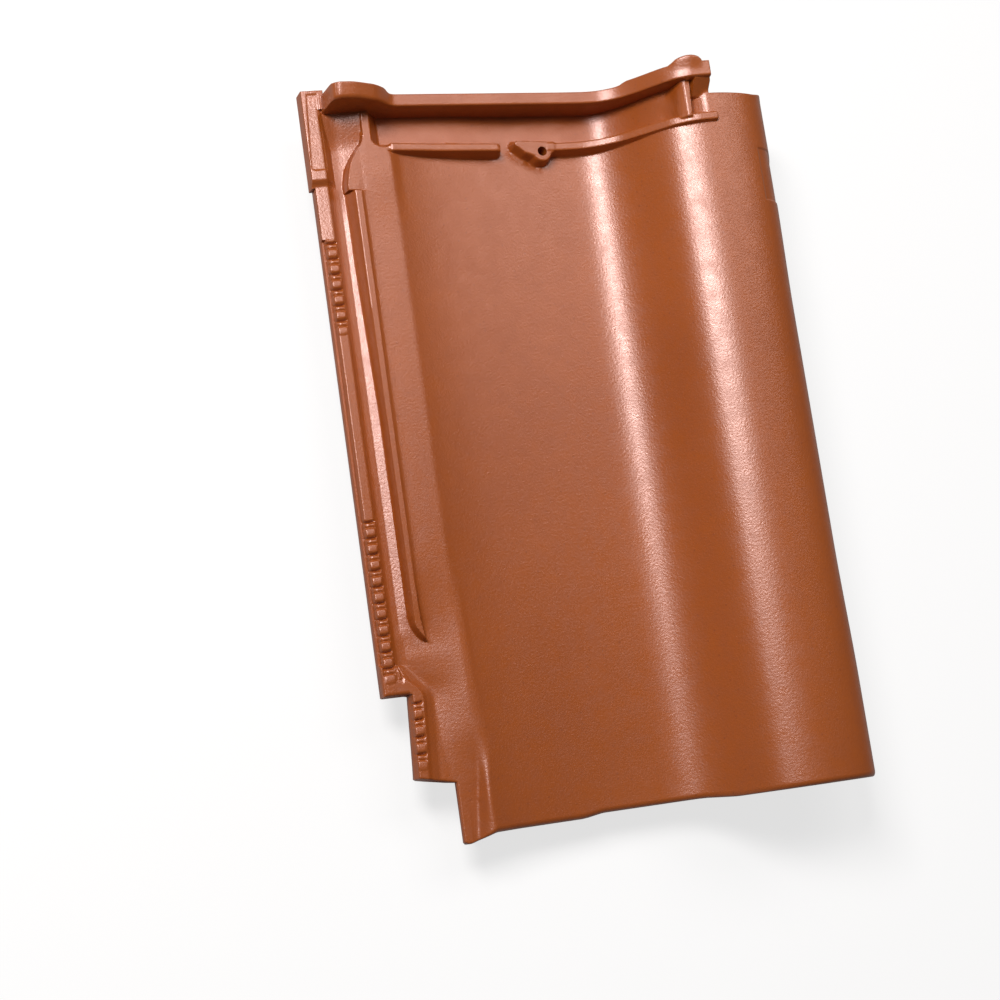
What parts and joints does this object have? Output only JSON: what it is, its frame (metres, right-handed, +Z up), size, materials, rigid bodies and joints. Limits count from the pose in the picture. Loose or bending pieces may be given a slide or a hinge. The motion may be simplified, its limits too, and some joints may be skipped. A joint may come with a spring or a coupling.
{
  "type": "clay roof tile",
  "caption": "Interlocking clay pantile with a raised roll, toothed side lock, head channel, nail hole and hooking nibs.",
  "frame": {"origin": "centre of the tile's footprint at the floor it lies on", "axes": "+Y from the foot to the head, +X from the lock edge to the roll, +Z up"},
  "size_m": [0.2536, 0.377, 0.0785],
  "materials": {
    "glazed_clay": "satin copper-brown engobe on fired clay"
  },
  "bodies": {
    "root": {"roof_tile": "glazed_clay"}
  },
  "joints": []
}
